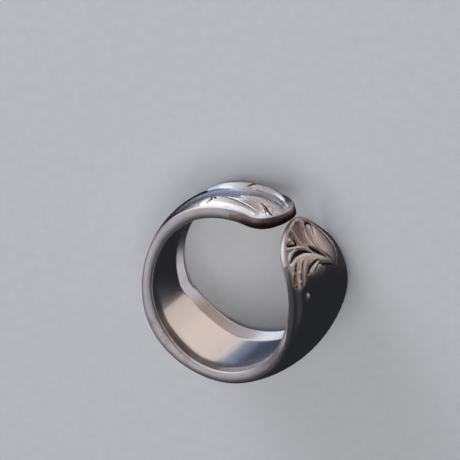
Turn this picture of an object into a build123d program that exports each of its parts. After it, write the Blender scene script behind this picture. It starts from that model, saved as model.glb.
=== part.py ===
from build123d import *
from math import cos, degrees, radians, sin
import os

# Driving dimensions in millimetres and degrees. The strip starts at the tip of its tongue end, which lies on
# top, runs round the finger hole against the clock and ends at the tip of its shield end.

bore_radius = 8.5  # finger hole, measured at the two rims
hoop_start = 70  # where the round stretch begins, counted from +X
hoop_turn = 317  # how far the round stretch goes
tongue_bend = 7.0  # radius of the tongue's upward curl
tongue_reach = 4.7  # length of that curl
shield_bend = 8.0  # radius of the shield's outward curl
shield_reach = 3.85  # length of that curl

band_half = 7.8  # half the width of the strip where it is widest
wall = 1.5  # thickness of the rims where they are thickest
crown = 1.2  # how far the outer face bulges past its rims at most
hollow = 0.45  # how far the inner face sinks below its rims at most
land = 0.66  # share of the inner face that is level, between its two creases
rim_round = 0.2  # rounding of the long edges on the finger's side
drift = 0.6  # how much nearer to the upper side the tongue's tip lies than the shield's

tongue_tip = 3.8  # length over which the tongue rounds off to its tip
shield_tip = 6.4  # length over which the shield rounds off to its tip
tip_power = 1.9  # shape of the rounded tips: 2 is an ellipse, less is more pointed
tip_turns = (-90, -60, -30, 0, 30, 60, 90)  # where a tip's outline is worked out, 0 being its end
tip_margin = 1.02  # the outline is this much wider than the strip, so that it runs out through its rims
step_start = 0.428  # where the strip begins to step out at its lower rim, as a share of its length
step_end = 0.445  # where that step ends

relief_height = 0.4  # how far the tallest leaf stands out of the outer face
leaf_root = 0.3  # how deep the root of each leaf goes into the metal
bead_radius = 0.38  # bead at the foot of the shield's leaves
fineness = 0.01  # how closely the ring's outline is followed when it is centred

hoop_length = bore_radius * radians(hoop_turn)
strip_length = tongue_reach + hoop_length + shield_reach

# Each row is one cross-section: its place along the strip, the distances of its upper and its lower rim from
# the middle line as shares of band_half, the thickness of its rims and the rounding of its outer corners as
# shares of wall, its bulge as a share of crown and its sink as a share of hollow.
tongue_sections = [
    # place, upper, lower, rim, corner, bulge, sink
    (0.00, 0.63, 0.40, 0.80, 0.13, 0.25, 0.22),
    (0.04, 0.56, 0.46, 0.92, 0.13, 0.38, 0.45),
    (0.08, 0.52, 0.51, 0.93, 0.13, 0.45, 0.70),
    (0.13, 0.54, 0.52, 0.91, 0.13, 0.50, 0.90),
    (0.21, 0.51, 0.51, 0.90, 0.13, 0.50, 1.00),
    (0.29, 0.50, 0.51, 0.87, 0.13, 0.50, 1.00),
    (0.36, 0.57, 0.53, 0.82, 0.13, 0.55, 1.00),
    (step_start, 0.63, 0.56, 0.97, 0.13, 0.58, 1.00),
]
shield_sections = [
    # place, upper, lower, rim, corner, bulge, sink
    (step_end, 0.64, 0.68, 0.99, 0.13, 0.60, 1.00),
    (0.475, 0.66, 0.74, 1.00, 0.13, 0.63, 1.00),
    (0.52, 0.71, 0.77, 0.88, 0.13, 0.67, 1.00),
    (0.57, 0.76, 0.77, 0.82, 0.13, 0.70, 1.00),
    (0.62, 0.80, 0.82, 0.88, 0.13, 0.79, 1.00),
    (0.675, 0.84, 0.87, 0.91, 0.15, 0.88, 1.00),
    (0.73, 0.90, 0.95, 0.93, 0.25, 0.96, 1.00),
    (0.785, 0.97, 1.02, 0.93, 0.50, 1.00, 1.00),
    (0.84, 0.93, 1.00, 0.88, 0.75, 1.00, 0.93),
    (0.90, 0.81, 0.87, 0.65, 0.42, 0.79, 0.75),
    (0.95, 0.83, 0.73, 0.50, 0.15, 0.56, 0.50),
    (1.00, 0.84, 0.66, 0.43, 0.13, 0.37, 0.22),
]
rests_at = (0.297, 0.48, 0.824)  # the three places along the lower rim that touch the floor

# Leaves in relief. A leaf follows three to five points on the outer face. Each point has its distance from
# the tip as a share of that end's tip length, and from the middle line as a share of band_half.
shield_leaves = [
    # points, half width as a share of band_half, height as a share of relief_height
    ([(0.39, -0.40), (0.64, -0.34), (0.92, -0.28)], 0.180, 0.85),
    ([(0.26, -0.23), (0.45, -0.15), (0.67, -0.05), (0.88, -0.14)], 0.070, 1.00),
    ([(0.09, -0.09), (0.24, -0.06), (0.42, 0.00), (0.57, 0.01)], 0.055, 0.90),
    ([(0.06, 0.21), (0.26, 0.20), (0.45, 0.20), (0.62, 0.18)], 0.050, 0.90),
    ([(0.33, 0.56), (0.40, 0.35), (0.53, 0.21)], 0.040, 0.80),
    ([(0.95, -0.20), (0.79, 0.04), (0.71, 0.28), (0.72, 0.48), (0.92, 0.67)], 0.095, 1.00),
    ([(0.60, 0.54), (0.72, 0.70), (0.90, 0.78)], 0.045, 0.90),
    ([(0.79, 0.12), (0.83, 0.28), (0.90, 0.42)], 0.045, 0.80),
]
tongue_leaves = [
    # points, half width as a share of band_half, height as a share of relief_height
    ([(2.40, 0.42), (1.90, 0.40), (1.30, 0.42), (0.95, 0.40)], 0.095, 1.00),
    ([(2.50, -0.14), (2.15, -0.27), (1.80, -0.38)], 0.140, 1.00),
    ([(1.58, -0.36), (1.20, -0.37), (0.82, -0.32)], 0.080, 0.80),
    ([(0.88, -0.36), (0.60, -0.30), (0.38, -0.22)], 0.040, 0.70),
    ([(1.10, 0.23), (0.88, 0.26), (0.68, 0.32)], 0.035, 0.80),
    ([(1.35, 0.08), (0.85, 0.06), (0.35, 0.05)], 0.100, 0.60),
]
bead_place = (1.12, 0.68)  # distances from the shield's tip and from the middle line, given as for the leaves
leaf_swell = [
    # share of the leaf's route, share of its full width and height
    (0.00, 0.25),
    (0.25, 0.85),
    (0.50, 1.00),
    (0.75, 0.80),
    (1.00, 0.25),
]

# The rail is the line along the middle of the strip's inner side, at the height of its rims.
with BuildLine() as rail:
    hoop = CenterArc((0, 0), bore_radius, hoop_start, hoop_turn)
    tongue_curl = JernArc(hoop @ 0, -(hoop % 0), tongue_bend, degrees(tongue_reach / tongue_bend))
    shield_curl = JernArc(hoop @ 1, hoop % 1, shield_bend, -degrees(shield_reach / shield_bend))


def shape_at(place):
    """Upper and lower half width, rim, corner, bulge and sink in millimetres, worked out between the sections."""
    rows = tongue_sections + shield_sections
    before = max((row for row in rows if row[0] <= place), key=lambda row: row[0])
    after = min((row for row in rows if row[0] >= place), key=lambda row: row[0])
    mix = (place - before[0]) / ((after[0] - before[0]) or 1)
    shares = [a + (b - a) * mix for a, b in zip(before[1:], after[1:])]
    return [share * size for share, size in zip(shares, (band_half, band_half, wall, wall, crown, hollow))]


def across(place):
    """The plane square to the strip at a share of its length: x towards the upper rim, y outwards."""
    length = place * strip_length
    if length < tongue_reach:
        curve, share, way = tongue_curl, 1 - length / tongue_reach, -1
    elif length < tongue_reach + hoop_length:
        curve, share, way = hoop, (length - tongue_reach) / hoop_length, 1
    else:
        curve, share, way = shield_curl, (length - tongue_reach - hoop_length) / shield_reach, 1
    rise = Vector(0, 0, drift * (0.5 - place))
    return Plane(origin=curve @ share + rise, x_dir=(0, 0, 1), z_dir=(curve % share) * way)


def section(place, upper_share, lower_share, rim_share, corner_share, bulge_share, sink_share):
    """One cross-section: a level inner face between two creases, square rims and a bulging outer face."""
    upper, lower, rim = upper_share * band_half, lower_share * band_half, rim_share * wall
    middle, half, sink = (upper - lower) / 2, (upper + lower) / 2, sink_share * hollow
    with BuildSketch(across(place)) as sketch:
        with BuildLine():
            inside = Polyline(
                (upper, rim),
                (upper, 0),
                (middle + half * land, sink),
                (middle - half * land, sink),
                (-lower, 0),
                (-lower, rim),
            )
            ThreePointArc(inside @ 1, (middle, rim + bulge_share * crown), inside @ 0)
        make_face()
        at_rims = vertices().filter_by(lambda corner: abs(corner.X - middle) > half - rim_round)
        fillet(at_rims.filter_by(lambda corner: corner.Y > rim / 2), corner_share * wall)
        at_rims = vertices().filter_by(lambda corner: abs(corner.X - middle) > half - rim_round)
        fillet(at_rims.filter_by(lambda corner: corner.Y < rim_round / 2), rim_round)
    return sketch.sketch


def tip_outside(end, tip_length, way):
    """All that lies outside the rounded outline of a tip, on the plane that touches the strip halfway along it."""
    middle = across(end + way * tip_length / 2 / strip_length)
    outline = []
    for turn in tip_turns:
        depth = tip_length * (1 - cos(radians(turn)) ** (2 / tip_power))
        upper, lower = shape_at(end + way * depth / strip_length)[:2]
        sideways = tip_margin * (upper + lower) / 2 * sin(radians(turn))
        outline.append((depth - tip_length / 2, way * ((upper - lower) / 2 + sideways)))
    with BuildSketch(Plane(origin=middle.origin, x_dir=middle.z_dir * way, z_dir=middle.y_dir)) as sketch:
        with Locations((-tip_length / 2, 0)):
            Rectangle(tip_length * 2, band_half * 3)
        with BuildLine():
            rounded = Spline(outline)
            Line(rounded @ 1, rounded @ 0)
        make_face(mode=Mode.SUBTRACT)
    return sketch.sketch


def face_plane(place, offset):
    """The plane on the outer face at a distance from its middle: x to the upper rim, z out of the metal."""
    upper, lower, rim, _, bulge, _ = shape_at(place)
    half = (upper + lower) / 2
    cut = across(place)
    height = rim + bulge * (1 - (offset / half) ** 2)
    slant = cut.x_dir - cut.y_dir * (2 * bulge * offset / half**2)
    origin = cut.from_local_coords((offset + (upper - lower) / 2, height))
    return Plane(origin=origin, x_dir=slant, z_dir=cut.z_dir.cross(slant))


def leaf(points, width_share, height_share, place, tip_length, way):
    """The sections of one leaf: a rounded ridge that swells and thins out again along its route."""
    with BuildLine() as route:
        Spline([(way * along * tip_length, offset * band_half) for along, offset in points])
    sections = []
    for share, swell in leaf_swell:
        spot, heading = route.line @ share, route.line % share
        face = face_plane(place + spot.X / strip_length, spot.Y)
        ahead = face.x_dir * heading.Y - face.y_dir * heading.X
        half = width_share * band_half * swell
        with BuildSketch(Plane(origin=face.origin, x_dir=face.z_dir.cross(ahead), z_dir=ahead)) as sketch:
            with BuildLine():
                root = Polyline((half, 0), (half, -leaf_root), (-half, -leaf_root), (-half, 0))
                ThreePointArc(root @ 1, (0, height_share * relief_height * swell), root @ 0)
            make_face()
        sections.append(sketch.sketch)
    return sections


# The tongue end, from its tip on top to the step
with BuildPart() as tongue:
    loft([section(*row) for row in tongue_sections])
    extrude(tip_outside(0, tongue_tip, 1), amount=tongue_tip, both=True, mode=Mode.SUBTRACT)
    for row in tongue_leaves:
        loft(leaf(*row, 0, tongue_tip, 1))

# The shield end, from the step to its tip, with a bead at the foot of its leaves
with BuildPart() as shield:
    loft([section(*row) for row in shield_sections])
    extrude(tip_outside(1, shield_tip, -1), amount=shield_tip / 2, both=True, mode=Mode.SUBTRACT)
    for row in shield_leaves:
        loft(leaf(*row, 1, shield_tip, -1))
    with Locations(face_plane(1 - bead_place[0] * shield_tip / strip_length, bead_place[1] * band_half)):
        Sphere(bead_radius)

# The step between the two ends joins them
with BuildPart() as strip:
    add(tongue.part)
    add(shield.part)
    loft([section(*tongue_sections[-1]), section(*shield_sections[0])])


def lowest(place):
    """The outer end of the lower rim's flat at a share of the strip's length."""
    _, lower, rim, corner, _, _ = shape_at(place)
    return across(place).from_local_coords((-lower, rim - corner))


def centre(values):
    """The middle between the least and the greatest value."""
    return (min(values) + max(values)) / 2


# The floor touches the lower rim at three places. The finished ring lies on it, centred over the origin.
first, second, third = [lowest(place) for place in rests_at]
upright = (second - first).cross(third - first)
floor = Plane(origin=first, x_dir=Vector(0, 1, 0).cross(upright), z_dir=upright)
halves = [floor.to_local_coords(half.part) for half in (tongue, shield)]
surface_points = [point for half in halves for point in half.tessellate(fineness)[0]]
middle_x, middle_y = centre([point.X for point in surface_points]), centre([point.Y for point in surface_points])
bottom = min(point.Z for point in surface_points)
with BuildPart() as spoon_ring:
    add(floor.to_local_coords(strip.part).moved(Location((-middle_x, -middle_y, -bottom))))

os.makedirs("parts", exist_ok=True)
spoon_ring.part.label = "spoon_ring"
export_step(spoon_ring.part, "parts/spoon_ring.step")
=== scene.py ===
import math

import bpy
import numpy as np
from mathutils import Matrix, Vector


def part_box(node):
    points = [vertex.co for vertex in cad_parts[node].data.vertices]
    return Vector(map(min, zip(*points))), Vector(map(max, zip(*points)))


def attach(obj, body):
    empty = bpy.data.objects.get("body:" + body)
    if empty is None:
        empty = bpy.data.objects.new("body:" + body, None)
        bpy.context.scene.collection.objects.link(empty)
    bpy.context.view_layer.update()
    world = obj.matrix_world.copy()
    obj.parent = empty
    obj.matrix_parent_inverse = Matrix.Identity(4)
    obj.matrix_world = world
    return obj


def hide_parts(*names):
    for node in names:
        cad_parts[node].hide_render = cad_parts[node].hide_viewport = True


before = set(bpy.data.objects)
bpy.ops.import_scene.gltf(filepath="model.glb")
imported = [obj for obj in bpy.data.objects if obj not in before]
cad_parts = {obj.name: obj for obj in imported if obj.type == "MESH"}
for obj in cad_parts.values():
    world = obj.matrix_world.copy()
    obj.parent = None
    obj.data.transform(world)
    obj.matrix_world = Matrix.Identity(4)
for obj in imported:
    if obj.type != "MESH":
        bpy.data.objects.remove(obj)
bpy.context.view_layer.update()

mm = 0.001  # everything below is worked out in millimetres, and put into the meshes in metres

# The strip
# Lengths in millimetres, angles in degrees. The strip starts at the tongue's tip, runs round the finger hole
# against the clock and ends at the shield's tip. "along" is the distance from the tongue's tip, "away" from
# the shield's, "off" the distance from the middle line, positive towards the upper rim, and "out" the height
# above the inner side at its rims.
strip = {
    "boreRadius": 8.5,
    "hoopStart": 70.0,
    "hoopTurn": 317.0,
    "tongueBend": 7.0,
    "tongueReach": 4.7,
    "shieldBend": 8.0,
    "shieldReach": 3.85,
    "drift": 0.6,  # how much the tongue lies above the shield
    "tongueTip": 3.8,  # length over which each end rounds off
    "shieldTip": 6.4,
    "tipPower": 1.9,  # 2 is an ellipse, more is blunter
    "shoulder": 24.25,  # where the strip steps out, mostly at its lower rim
    "shoulderLength": 0.9,
    "tableRise": 4.0,  # length over which the table's own rows rise there
    "upperStep": -0.05,
    "lowerStep": 0.75,
    "evening": 0.9,  # how widely the table's bends are evened out
    "land": 0.66,  # share of the inner side between its two creases
    "creaseSoft": 0.006,
    "upperWear": 0.06,  # the upper crease starts this much further in, and is this much softer
    "upperSoft": 0.05,
    "rollReach": 1.3,  # how far in the rolled corner starts
    "lowerRoll": 0.5,  # how much of that roll the lower rim has
    "rimRound": 0.20,  # how far the corners are rounded, seen on the face
    "outerDrop": 0.15,  # and seen on the rim
    "innerDrop": 0.26,
    "shieldDrop": 0.25,  # what is left of innerDrop within shieldEdge of the shield's tip
    "shieldEdge": 7.0,
    "rimSwell": 0.05,  # the rim is this much fuller half way down
    "restsAt": (0.297, 0.48, 0.824),  # places of the lower rim that touch the floor, as in the CAD source
}
# place as a share of the length, the upper and the lower rim's distance from the middle line, rim, bulge,
# sink, and how far the outer corner of the upper rim is rolled down
stripSections = [
    (0.00, 4.90, 3.10, 1.20, 0.30, 0.10, 0.00),
    (0.02, 4.80, 3.20, 1.30, 0.40, 0.15, 0.00),
    (0.04, 4.40, 3.55, 1.40, 0.45, 0.20, 0.00),
    (0.07, 4.05, 3.90, 1.40, 0.52, 0.30, 0.00),
    (0.13, 4.25, 4.10, 1.36, 0.60, 0.40, 0.00),
    (0.21, 3.95, 3.95, 1.36, 0.60, 0.45, 0.00),
    (0.29, 3.90, 3.95, 1.30, 0.60, 0.45, 0.00),
    (0.34, 4.30, 4.12, 1.20, 0.60, 0.45, 0.00),
    (0.39, 4.72, 4.18, 1.27, 0.63, 0.45, 0.00),
    (0.43, 4.95, 4.36, 1.46, 0.66, 0.45, 0.00),
    (0.475, 5.18, 5.80, 1.55, 0.75, 0.45, 0.00),
    (0.52, 5.58, 5.98, 1.32, 0.80, 0.45, 0.00),
    (0.57, 5.94, 5.96, 1.20, 0.85, 0.45, 0.00),
    (0.62, 6.22, 6.42, 1.32, 0.95, 0.45, 0.00),
    (0.675, 6.50, 6.78, 1.38, 1.05, 0.45, 0.05),
    (0.73, 7.00, 7.40, 1.40, 1.15, 0.45, 0.15),
    (0.783, 7.60, 8.00, 1.40, 1.20, 0.45, 0.60),
    (0.81, 7.40, 7.95, 1.36, 1.15, 0.44, 0.95),
    (0.837, 7.22, 7.80, 1.31, 1.09, 0.42, 1.40),
    (0.87, 6.70, 7.30, 1.10, 1.02, 0.38, 1.10),
    (0.90, 6.32, 6.75, 0.95, 0.95, 0.34, 0.75),
    (0.95, 6.45, 5.75, 0.76, 0.68, 0.22, 0.42),
    (1.00, 6.55, 5.15, 0.66, 0.45, 0.10, 0.30),
]
hoopLength = strip["boreRadius"] * math.radians(strip["hoopTurn"])
stripLength = strip["tongueReach"] + hoopLength + strip["shieldReach"]


def smoothStep(share):
    # 3 s^2 - 2 s^3, s being the share kept between 0 and 1
    share = np.clip(share, 0, 1)
    return share * share * (3 - 2 * share)


def sCurve(value):
    # 1 / (1 + e^-value): 0 far below zero and 1 far above
    return 1 / (1 + np.exp(-value))


def sectionAt(along):
    # the table's values on a fine line, evened out by a bell curve so that the mirror shows no bend at a row;
    # half width and sway come from the two rims
    line = np.linspace(-6.0, stripLength + 6.0, 1400)
    table = np.array(stripSections)
    count = 50  # points of the line that the bell curve takes in on each side
    bell = np.exp(-0.5 * (np.arange(-count, count + 1) * (line[1] - line[0]) / strip["evening"]) ** 2)
    bell /= bell.sum()
    values = []
    for column in table[:, 1:].T:
        raw = np.interp(line / stripLength, table[:, 0], column)
        even = np.convolve(np.pad(raw, count, mode="edge"), bell, mode="valid")
        values.append(np.interp(along, line, even))
    upper, lower, rim, bulge, sink, roll = values
    step = smoothStep((along - strip["shoulder"]) / strip["shoulderLength"] + 0.5)
    step = step - smoothStep((along - strip["shoulder"]) / strip["tableRise"] + 0.5)
    upper, lower = upper + strip["upperStep"] * step, lower + strip["lowerStep"] * step
    return (upper + lower) / 2, rim, bulge, sink, (upper - lower) / 2, roll


def tipShare(along):
    # (1 - distance from the tip / length of the tip) to a power: 1 at each tip, 0 at full width
    nearTongue = np.clip(1 - along / strip["tongueTip"], 0, 1)
    nearShield = np.clip(1 - (stripLength - along) / strip["shieldTip"], 0, 1)
    return nearTongue ** strip["tipPower"] + nearShield ** strip["tipPower"]


def halfWidth(along, inset=0.0):
    # half width times the root of (1 - tipShare), drawn in by the inset all round
    scale = stripLength / (stripLength - 2 * inset)
    full = sectionAt(along)[0]
    return (full - inset) * np.sqrt(np.clip(1 - tipShare((along - inset) * scale), 0, 1))


def onStrip(along, off, out):
    # the middle line is an arc about the hole's centre between two short arcs that bend the other way; the
    # point is line + outward normal * out, at height off + sway + drift * (0.5 - share of the length)
    radius, start = strip["boreRadius"], math.radians(strip["hoopStart"])
    turn = start + np.clip((along - strip["tongueReach"]) / radius, 0, math.radians(strip["hoopTurn"]))
    x, y = radius * np.cos(turn), radius * np.sin(turn)
    heading = turn + math.pi / 2
    back = np.clip(strip["tongueReach"] - along, 0, None) / strip["tongueBend"]
    ahead = np.clip(along - strip["tongueReach"] - hoopLength, 0, None) / strip["shieldBend"]
    for bend, bent in ((strip["tongueBend"], back), (strip["shieldBend"], -ahead)):
        x = x - bend * (np.sin(heading + bent) - np.sin(heading))
        y = y + bend * (np.cos(heading + bent) - np.cos(heading))
    heading = heading + back - ahead
    z = off + sectionAt(along)[4] + strip["drift"] * (0.5 - along / stripLength)
    return np.stack([x + np.sin(heading) * out, y - np.cos(heading) * out, z], axis=-1)


# The leaves in relief
# Each row is a route over the outer side: (distance from the tip, off, half width) at its points, then the
# height of its crest (below zero for a groove), how square its sides are (2 is round) and how many fine
# lines run along it, or for a groove how dark its tarnish is, from 0 to 1.
shieldHollows = [
    ([(0.5, 0.2, 0.5), (1.3, 0.5, 0.7), (2.2, 0.6, 0.62), (3.0, 0.72, 0.5), (3.8, 0.9, 0.4)], -0.13, 2.4, 0),
    ([(0.7, 2.3, 0.3), (1.2, 2.35, 0.48), (1.8, 2.2, 0.4)], -0.12, 2.4, 0),
]
shieldLeaves = [
    ([(2.2, -3.15, 0.15), (2.8, -3.1, 0.7), (3.5, -2.9, 1.15), (4.3, -2.6, 1.48), (4.9, -2.4, 1.6),
      (5.45, -2.3, 1.3), (5.9, -2.1, 0.75), (6.1, -1.85, 0.1)], 0.14, 2.8, 17),
    ([(0.62, -1.05, 0.35), (1.15, -0.9, 0.48), (1.7, -0.64, 0.42), (2.35, -0.38, 0.42), (3.05, -0.2, 0.42),
      (3.7, 0.0, 0.38), (4.1, -0.1, 0.25)], 0.24, 2.6, 0),
    ([(1.5, -2.1, 0.3), (2.0, -1.8, 0.52), (2.4, -1.5, 0.52), (2.95, -1.1, 0.44), (3.5, -0.8, 0.36),
      (4.0, -0.54, 0.29), (4.5, -0.5, 0.22), (5.0, -0.7, 0.2), (5.6, -1.15, 0.19), (6.05, -1.6, 0.1)], 0.33,
      2.4, 0),
    ([(0.35, 1.6, 0.15), (0.8, 1.66, 0.28), (1.6, 1.64, 0.27), (2.35, 1.59, 0.26), (3.2, 1.55, 0.25),
      (3.85, 1.44, 0.22), (4.3, 1.22, 0.1)], 0.15, 2.0, 0),
    ([(1.35, 2.75, 0.12), (1.52, 2.95, 0.36), (1.62, 3.15, 0.2)], 0.20, 2.4, 0),
    ([(2.16, 4.45, 0.2), (2.4, 3.73, 0.26), (2.67, 2.87, 0.28), (2.95, 2.1, 0.28), (3.4, 1.6, 0.2)], 0.22,
      2.4, 0),
    ([(2.7, 3.1, 0.15), (2.83, 3.77, 0.26), (3.1, 4.42, 0.22), (3.42, 4.9, 0.19), (3.7, 5.15, 0.08)], 0.27,
      2.2, 0),
    ([(6.05, -1.5, 0.2), (5.45, -0.47, 0.46), (5.0, 0.55, 0.58), (4.6, 1.78, 0.72), (4.45, 2.8, 0.78),
      (4.5, 3.7, 0.88), (4.75, 4.6, 1.0), (5.15, 5.2, 1.0), (5.65, 5.6, 0.75), (6.05, 5.85, 0.25)], 0.30, 3.0,
      9),
    ([(4.35, 2.7, 0.12), (4.66, 3.6, 0.28), (5.02, 4.15, 0.3), (5.51, 4.75, 0.27), (6.0, 5.2, 0.22),
      (6.35, 5.45, 0.08)], 0.37, 2.2, 0),
    ([(4.1, 3.2, 0.12), (4.32, 4.14, 0.28), (4.73, 4.71, 0.31), (5.2, 5.35, 0.29), (5.74, 5.74, 0.25),
      (6.17, 5.9, 0.2), (6.6, 6.0, 0.09)], 0.37, 2.2, 0),
    ([(3.85, 4.3, 0.12), (4.09, 5.09, 0.3), (4.55, 5.6, 0.27), (5.07, 5.88, 0.22), (5.54, 6.02, 0.18),
      (6.05, 6.1, 0.1)], 0.30, 2.2, 0),
    ([(5.2, 1.0, 0.1), (5.28, 1.68, 0.26), (5.43, 2.5, 0.33), (5.63, 3.1, 0.28), (5.92, 3.5, 0.08)], 0.25,
      2.2, 3),
]
shieldGrooves = [
    ([(3.1, -1.5, 0.08), (2.6, -2.1, 0.16), (2.1, -2.5, 0.2), (1.7, -2.6, 0.22), (1.35, -2.35, 0.22),
      (1.22, -1.85, 0.2), (1.42, -1.35, 0.15), (1.75, -1.05, 0.13), (2.1, -0.8, 0.12), (2.6, -0.58, 0.1),
      (3.2, -0.45, 0.05)], -0.24, 2.0, 0.75),
    ([(1.85, -1.65, 0.05), (2.3, -1.25, 0.1), (2.9, -0.9, 0.1), (3.5, -0.6, 0.05)], -0.08, 2.0, 0.35),
    ([(2.9, -1.7, 0.06), (3.45, -1.24, 0.1), (4.04, -0.86, 0.1), (4.5, -0.8, 0.1), (4.95, -0.93, 0.1),
      (5.5, -1.25, 0.1), (6.0, -1.75, 0.05)], -0.10, 2.0, 0.4),
    ([(3.6, 0.55, 0.1), (4.0, 0.47, 0.3), (4.33, 0.26, 0.37), (4.7, -0.08, 0.27), (5.05, -0.36, 0.16),
      (5.4, -0.75, 0.05)], -0.24, 2.2, 0.55),
    ([(1.65, 2.0, 0.08), (1.95, 2.12, 0.22), (2.28, 2.24, 0.29), (2.40, 2.6, 0.2), (2.3, 2.9, 0.1)], -0.22,
      2.2, 0.9),
    ([(1.55, 3.72, 0.1), (1.9, 3.68, 0.2), (2.14, 3.35, 0.18), (2.26, 2.9, 0.18)], -0.26, 2.0, 0.9),
    ([(3.9, 5.1, 0.05), (3.71, 4.9, 0.1), (3.50, 4.32, 0.16), (3.39, 3.7, 0.25), (3.40, 3.0, 0.31),
      (3.53, 2.33, 0.30), (3.80, 1.81, 0.24), (4.04, 1.47, 0.12), (4.28, 1.12, 0.05)], -0.32, 2.2, 0.85),
    ([(4.3, 3.55, 0.05), (4.75, 4.35, 0.11), (5.25, 5.08, 0.12), (5.85, 5.5, 0.12), (6.4, 5.75, 0.06)], -0.18,
      2.0, 0.5),
    ([(4.15, 4.6, 0.05), (4.5, 5.17, 0.16), (4.95, 5.65, 0.16), (5.4, 5.96, 0.18), (5.85, 6.1, 0.14),
      (6.2, 6.15, 0.06)], -0.21, 2.0, 0.6),
    ([(5.05, 1.0, 0.06), (5.04, 1.83, 0.13), (5.09, 2.6, 0.15), (5.27, 3.3, 0.17), (5.55, 3.75, 0.15)], -0.26,
      2.0, 0.9),
]
tongueHollows = [
    ([(12.5, 2.9, 0.4), (10.6, 1.6, 0.9), (8.6, 0.9, 1.1), (6.8, 0.6, 1.2), (5.2, -0.2, 1.2),
      (3.6, -0.6, 1.0), (2.2, -0.3, 0.6), (0.9, 0.2, 0.2)], -0.14, 2.0, 0),
]
tongueLeaves = [
    ([(9.9, 3.3, 0.25), (9.4, 3.25, 0.75), (8.65, 3.0, 1.13), (7.9, 3.0, 1.15), (7.2, 3.15, 1.0),
      (6.5, 3.27, 0.85), (5.7, 3.4, 0.68), (4.8, 3.5, 0.5), (3.6, 3.5, 0.15)], 0.42, 2.4, 5),
    ([(10.4, -0.9, 0.2), (9.6, -1.6, 1.0), (8.6, -2.1, 1.65), (7.8, -2.3, 1.75), (7.2, -2.6, 1.7),
      (6.7, -3.0, 1.2), (6.4, -3.4, 0.5)], 0.56, 2.2, 5),
    ([(6.9, -2.7, 0.5), (6.2, -2.9, 0.95), (5.4, -3.0, 1.05), (4.6, -3.0, 0.95), (3.7, -2.8, 0.75),
      (2.8, -2.4, 0.5), (2.1, -1.9, 0.2)], 0.38, 2.2, 4),
    ([(6.2, 1.0, 0.2), (5.3, 0.75, 0.75), (4.3, 0.6, 1.0), (3.1, 0.7, 1.15), (2.0, 0.8, 1.15),
      (1.0, 0.8, 0.9), (0.35, 0.6, 0.3)], 0.16, 2.2, 0),
    ([(4.4, 1.62, 0.08), (3.75, 1.90, 0.22), (2.95, 2.42, 0.24), (2.25, 2.95, 0.08)], 0.33, 2.0, 0),
    ([(2.75, -2.6, 0.1), (2.2, -2.1, 0.24), (1.65, -1.6, 0.08)], 0.27, 2.0, 0),
    ([(1.65, -1.55, 0.08), (1.15, -1.1, 0.2), (0.6, -0.6, 0.06)], 0.2, 2.0, 0),
]
tongueGrooves = [
    ([(8.95, 2.05, 0.05), (8.62, 2.75, 0.1), (8.60, 3.3, 0.11), (8.86, 3.6, 0.06)], -0.22, 2.0, 0.6),
    ([(8.0, 2.05, 0.04), (8.27, 2.28, 0.08), (8.38, 2.62, 0.1), (8.12, 3.0, 0.1), (7.88, 2.86, 0.06)], -0.21,
      2.0, 0.6),
    ([(7.9, 1.78, 0.05), (6.98, 2.05, 0.1), (6.10, 2.32, 0.1), (5.00, 2.66, 0.11), (3.87, 2.82, 0.05)], -0.20,
      2.0, 0.7),
    ([(4.2, 1.24, 0.05), (3.40, 1.40, 0.11), (2.45, 1.92, 0.13), (1.58, 2.45, 0.11), (1.0, 2.62, 0.04)],
      -0.30, 2.0, 0.9),
    ([(6.65, -1.4, 0.08), (6.5, -2.2, 0.14), (6.45, -3.0, 0.16), (6.4, -3.9, 0.14)], -0.2, 2.0, 0.6),
]
bead = {"away": 7.36, "off": 5.22, "long": 0.17, "wide": 0.2, "height": 0.22}
# low points on the shield's large leaf: distance from the shield's tip, off, size
wornPoints = [(4.98, 5.25, 0.13), (4.83, 5.75, 0.13), (5.75, 5.72, 0.12)]
leafRelief = {
    "leafHeight": 0.9,  # how high and wide the rows above come out
    "leafWidth": 1.03,
    "grooveDepth": 0.8,
    "grooveWidth": 1.1,
    "meeting": 0.05,  # how softly a leaf meets what lies under it
    "lineHeight": 0.03,  # the fine lines' height as a share of the crest
    "wornHeight": 0.11,
    "rimFlat": 0.12,  # the relief is low this close to the rim, and full after rimFade more
    "rimFade": 0.42,
    "rimShare": 0.1,  # what is left of it at the rim
}
# a raised border inside the shield's upper rim, gone at "ends" from its tip and below "from"
border = {"height": 0.06, "place": 0.24, "width": 0.18, "ends": 6.6, "endFade": 3.0, "from": -0.6,
          "fromFade": 0.35}
# the matt punched ground between the tongue's leaves, and where it runs out along the strip
groundStrokes = [
    ([(13.5, 0.6, 2.4), (12.0, 0.4, 3.2), (10.5, 0.2, 2.6), (9.6, 0.5, 1.5)], 1.0),
    ([(9.8, 0.5, 1.0), (8.6, 0.4, 0.95), (7.2, 0.6, 0.9), (6.0, 0.0, 0.85), (4.8, -1.0, 0.8),
      (3.4, -1.5, 0.65), (2.2, -0.9, 0.4), (1.2, -0.4, 0.2)], 1.0),
]
# the shield is satin between its leaves too, and so is the tongue close to its tip
satinStrokes = [
    ([(0.7, 0.3, 1.6), (1.6, 0.2, 2.5), (2.6, 0.3, 3.1), (3.5, 0.6, 3.0), (4.2, 0.9, 1.1)], 1.0),
    ([(2.8, 3.4, 1.4), (3.7, 4.2, 1.4), (4.6, 4.9, 1.3), (5.4, 5.5, 0.8), (6.0, 5.8, 0.4)], 1.0),
]
tongueSatinStrokes = [([(0.3, -2.6, 1.0), (0.2, 0.0, 1.1), (0.5, 2.3, 1.3), (1.6, 3.6, 0.9),
                        (3.0, 4.0, 0.5)], 1.0)]
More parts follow.
